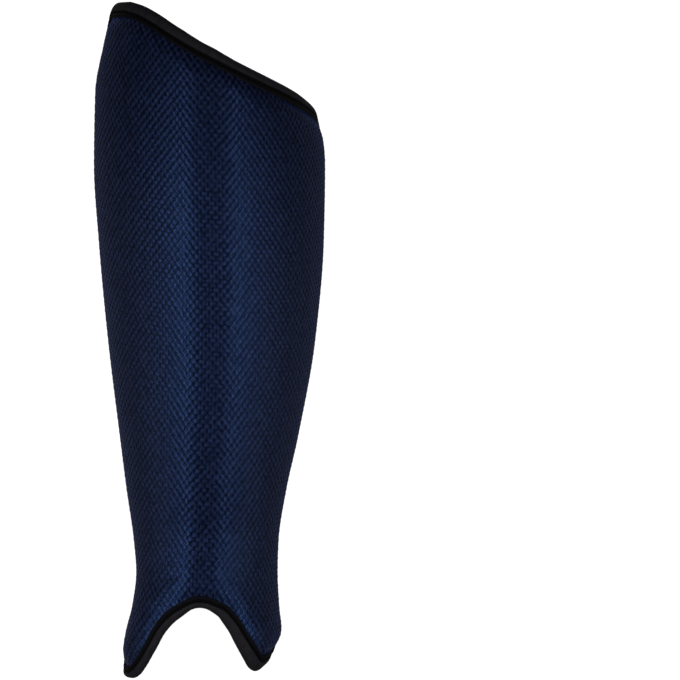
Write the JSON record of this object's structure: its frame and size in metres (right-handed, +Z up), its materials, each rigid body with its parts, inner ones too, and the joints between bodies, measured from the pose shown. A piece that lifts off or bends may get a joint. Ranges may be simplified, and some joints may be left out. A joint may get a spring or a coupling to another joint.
{
  "type": "field hockey shin guard",
  "caption": "Padded field hockey shin guard in navy mesh with black bound edges: a half-round wall with a soft ridge, a slanted knee end and an arched ankle end, lying with its hollow down.",
  "frame": {"origin": "on the surface that the guard lies on, under the middle of its outline", "axes": "+Z up out of the guard's front, +Y along the leg towards the knee, +X towards the wearer's inner side"},
  "size_m": [0.11, 0.32, 0.07],
  "materials": {
    "mesh_cover": "navy knitted air mesh with a soft sheen, over foam",
    "binding_tape": "black woven tape, folded over the edge and stitched"
  },
  "bodies": {
    "root": {"padded_shell": "mesh_cover", "knee_binding": "binding_tape", "ankle_binding": "binding_tape", "outer_edge_binding": "binding_tape", "inner_edge_binding": "binding_tape"}
  },
  "joints": []
}
